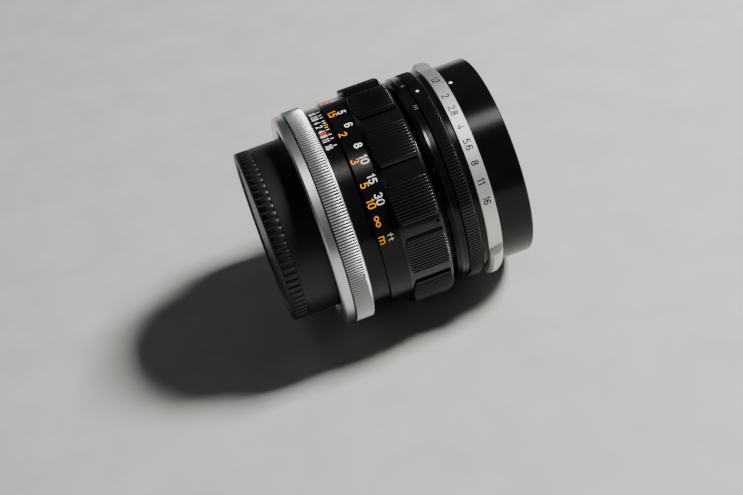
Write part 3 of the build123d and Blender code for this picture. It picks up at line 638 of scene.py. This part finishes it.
def distance_scale():
    """A row of metres behind a row of feet. The unit of each stands past the infinity sign."""
    width, height, thick, gap = 1.15, 2.1, 0.32, 0.66
    metre_row, foot_row = 14.55, 17.15
    metres = Marks("metre_figures", "focus", ORANGE_PAINT, SKIRT_R)
    for value in (10, 5, 3, 2, 1.5, 1.2, 1, 0.9, 0.8, 0.7, 0.6):
        metres.word(mark_angle(value * 1000.0), metre_row, f"{value:g}", width, height, thick, gap)
    metres.word(INFINITY_ANGLE, 14.75, ["inf"], 1.25, 1.75, thick)
    metres.word(INFINITY_ANGLE + 10.1, metre_row, "m", 1.2, 2.2, 0.3)
    metres.finish()
    feet = Marks("foot_figures", "focus", WHITE_PAINT, SKIRT_R)
    for value in (30, 15, 10, 8, 6, 5, 4, 3.5, 3, 2.5, 2):
        feet.word(mark_angle(value * FOOT), foot_row, f"{value:g}", width, height, thick, gap)
    feet.word(INFINITY_ANGLE + 9.9, foot_row, "ft", 1.1, 1.5, 0.2, gap=0.45)
    feet.finish()


def aperture_scale():
    """Stop numbers on the silver band. A stop is about 10 degrees, and 1.2 to 2 is a stop and a half."""
    figures = Marks("aperture_figures", "aperture", BLACK_FILL, APERTURE_R)
    stops = ("1.2", "2", "2.8", "4", "5.6", "8", "11", "16")
    places = (-4.6, 10.5, 20.8, 31.1, 41.2, 51.3, 61.4, 72.1)
    for text, angle in zip(stops, places):
        figures.word(angle, 45.68, text, 1.05, 1.9, 0.34, gap=0.52)
    figures.finish()


def index_letters():
    """The letters of the two settings, on the index band."""
    letters = Marks("switch_letters", "optical_unit", GREY_PAINT, INDEX_BAND_R)
    for text, angle in (("A", -9.0), ("M", 11.5)):
        letters.word(angle, 36.9, text, 1.0, 1.15, 0.16)
    letters.finish()


def dot(name, angle, x, floor, radius, body, material):
    """A shallow domed dot of paint."""
    count = 20
    vertices = []
    for share, rise in ((1.0, -0.04), (0.8, 0.05), (0.45, 0.08)):
        for k in range(count):
            t = 2 * pi * k / count
            turn = degrees(radius * share * cos(t) / floor)
            vertices.append(on_lens(angle + turn, floor + rise, x + radius * share * sin(t)))
    faces = [tuple(range(count)), tuple(range(3 * count - 1, 2 * count - 1, -1))]
    for s in range(2):
        for k in range(count):
            j = (k + 1) % count
            faces.append((s * count + k, (s + 1) * count + k, (s + 1) * count + j, s * count + j))
    return piece(name, vertices, faces, body, material)


def dots():
    """Ivory dots on the front barrel and the automatic / manual ring, a red one on the breech ring."""
    dot("aperture_dot", 0.0, 50.2, FRONT_R, 0.58, "optical_unit", IVORY_PAINT)
    dot("switch_dot", 0.2, 40.25, SWITCH_FLOOR_R, 0.52, "auto_manual", IVORY_PAINT)
    dot("breech_dot", -29.0, 1.6, BREECH_BAND_R, 1.0, "breech", RED_PAINT)


# ---------------------------------------------------------------- stage
def pale_floor():
    """A plain pale table under the lens, clear of its ribs."""
    half = 3.0
    z = min(rest_box[0].z, -(LAND_FLOOR_R + 0.3) * MM)
    corners = [(-half, -half, z), (half, -half, z), (half, half, z), (-half, half, z)]
    mesh = bpy.data.meshes.new("floor")
    mesh.from_pydata(corners, [], [(0, 1, 2, 3)])
    thing = bpy.data.objects.new("floor", mesh)
    bpy.context.scene.collection.objects.link(thing)
    colours = ((0.46, 0.455, 0.44), (0.52, 0.515, 0.50))
    paint(thing, surface("floor_paint", colours, 0.0, (0.55, 0.75), grain=300.0))


def soft_light(name, azimuth, elevation, distance, size, power, colour=(1.0, 1.0, 1.0)):
    """An area light that looks at the origin from a direction."""
    light = bpy.data.lights.new(name, "AREA")
    light.shape = "RECTANGLE"
    light.size, light.size_y = size
    light.energy = power
    light.color = colour
    thing = bpy.data.objects.new(name, light)
    a, e = radians(azimuth), radians(elevation)
    thing.location = Vector((cos(e) * cos(a), cos(e) * sin(a), sin(e))) * distance
    thing.rotation_euler = (-thing.location).to_track_quat("-Z", "Y").to_euler()
    bpy.context.scene.collection.objects.link(thing)


def lights():
    """A small key light in front, two weak soft lights and a dim studio."""
    soft_light("key", -5.0, 47.0, 1.0, (0.20, 0.20), 24.0, (1.0, 0.98, 0.95))
    soft_light("fill", -115.0, 35.0, 1.4, (0.9, 0.9), 0.4, (0.95, 0.97, 1.0))
    soft_light("back", 120.0, 40.0, 1.3, (0.7, 0.7), 0.5)
    world = bpy.data.worlds.new("studio")
    world.use_nodes = True
    world.node_tree.nodes["Background"].inputs["Color"].default_value = (0.9, 0.93, 1.0, 1.0)
    world.node_tree.nodes["Background"].inputs["Strength"].default_value = 0.05
    bpy.context.scene.world = world


def camera():
    """Looks down at the lens from its rear quarter, with the axis rising to the right."""
    aim = Vector((14.8, -10.55, -8.8)) * MM
    distance, azimuth, elevation, roll = 422.0, 261.55, 41.23, -14.64
    a, e = radians(azimuth), radians(elevation)
    toward = Vector((cos(e) * cos(a), cos(e) * sin(a), sin(e)))
    lens = bpy.data.cameras.new("camera")
    lens.lens = 69.77
    lens.sensor_width = 36.0
    lens.clip_start = 0.01
    thing = bpy.data.objects.new("camera", lens)
    turn = toward.to_track_quat("Z", "Y").to_matrix() @ Matrix.Rotation(radians(roll), 3, "Z")
    thing.matrix_world = Matrix.Translation(aim + toward * distance * MM) @ turn.to_4x4()
    bpy.context.scene.collection.objects.link(thing)
    bpy.context.scene.camera = thing


# ---------------------------------------------------------------- build
paint_frame()
glasses()
breech_knurl()
focus_ribs()
switch_knurl()
cap_ribs()
accessory_thread()
depth_scale()
distance_scale()
aperture_scale()
index_letters()
dots()
pale_floor()
lights()
camera()
